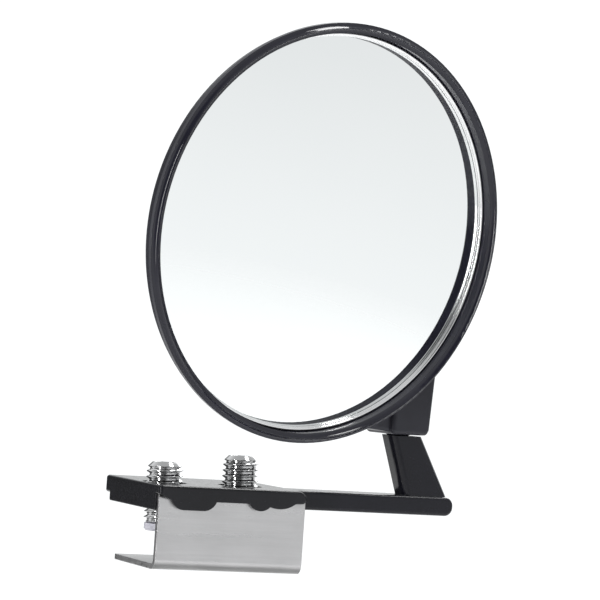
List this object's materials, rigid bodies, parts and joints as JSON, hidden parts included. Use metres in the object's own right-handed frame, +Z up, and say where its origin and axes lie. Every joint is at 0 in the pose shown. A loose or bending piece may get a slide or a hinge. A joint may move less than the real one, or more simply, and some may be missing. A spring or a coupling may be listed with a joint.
{
  "type": "clamp-on convex wide-angle mirror",
  "caption": "Round convex wide-angle mirror in a glossy ring, on a ball joint over a flat arm, with a folded steel edge clamp closed by set screws.",
  "frame": {"origin": "Middle of the jaw face, the upper side of the steel bracket's lower flange, where the clamped edge rests.", "axes": "+Z up, from the jaw face towards the mirror; +X along the arm from the clamp to the ball joint; the mirror faces -Y, so -Y is the front and the jaw opens towards +Y."},
  "size_m": [0.089, 0.0571, 0.1191],
  "materials": {
    "bracket_steel": "brushed along its length",
    "head_plastic": "fine satin grain",
    "arm_metal": "satin dark grey",
    "bush_steel": "machined",
    "screw_steel": "bright plated",
    "cap_plastic": "smooth pale grey",
    "ball_steel": "polished",
    "seat_plastic": "natural nylon",
    "shell_plastic": "satin moulded black",
    "bezel_plastic": "glossy black",
    "ring_metal": "bright",
    "mirror_glass": "silvered",
    "foam": "closed-cell foam"
  },
  "bodies": {
    "clamp": {"clamp_bracket": "bracket_steel", "clamp_head": "head_plastic", "thread_bush_left": "bush_steel", "thread_bush_right": "bush_steel", "arm": "arm_metal", "arm_pin": "bush_steel", "ball_stud": "ball_steel"},
    "foot_left": {"tip_cap_left": "cap_plastic"},
    "screw_left": {"set_screw_left": "screw_steel"},
    "foot_right": {"tip_cap_right": "cap_plastic"},
    "screw_right": {"set_screw_right": "screw_steel"},
    "seat_pan": {"ball_seat_lower": "seat_plastic"},
    "seat_tilt": {"ball_seat_upper": "seat_plastic"},
    "mirror_head": {"mirror_housing": "shell_plastic", "socket_collar": "shell_plastic", "collar_grub": "bush_steel", "bezel": "bezel_plastic", "retaining_ring": "ring_metal", "mirror_glass": "mirror_glass", "foam_ring": "foam"}
  },
  "joints": [
    {"name": "foot_left_travel", "type": "slide", "parent": "clamp", "child": "foot_left", "axis": [0, 0, 1], "range_m": [-0.006, 0.003]},
    {"name": "screw_left_turn", "type": "hinge", "parent": "foot_left", "child": "screw_left", "pos_m": [-0.01175, -0.0016, 0.0125], "axis": [0, 0, 1], "range_deg": [-1728, 864]},
    {"name": "foot_right_travel", "type": "slide", "parent": "clamp", "child": "foot_right", "axis": [0, 0, 1], "range_m": [-0.0082, 0.001]},
    {"name": "screw_right_turn", "type": "hinge", "parent": "foot_right", "child": "screw_right", "pos_m": [0.00595, -0.0016, 0.0147], "axis": [0, 0, 1], "range_deg": [-2361.6, 288]},
    {"name": "mirror_pan", "type": "hinge", "parent": "clamp", "child": "seat_pan", "pos_m": [0.0422, -0.004, 0.0363], "axis": [0, 0, 1], "continuous": true},
    {"name": "mirror_tilt", "type": "hinge", "parent": "seat_pan", "child": "seat_tilt", "pos_m": [0.0422, -0.004, 0.0363], "axis": [0.9736, 0.2284, 0], "range_deg": [-2, 2]},
    {"name": "mirror_roll", "type": "hinge", "parent": "seat_tilt", "child": "mirror_head", "pos_m": [0.0422, -0.004, 0.0363], "axis": [-0.2284, 0.9736, 0], "range_deg": [-2, 2]}
  ],
  "couplings": [
    {"joint": "screw_left_turn", "follows": "foot_left_travel", "rad_per_m": 5026.5},
    {"joint": "screw_right_turn", "follows": "foot_right_travel", "rad_per_m": 5026.5}
  ]
}
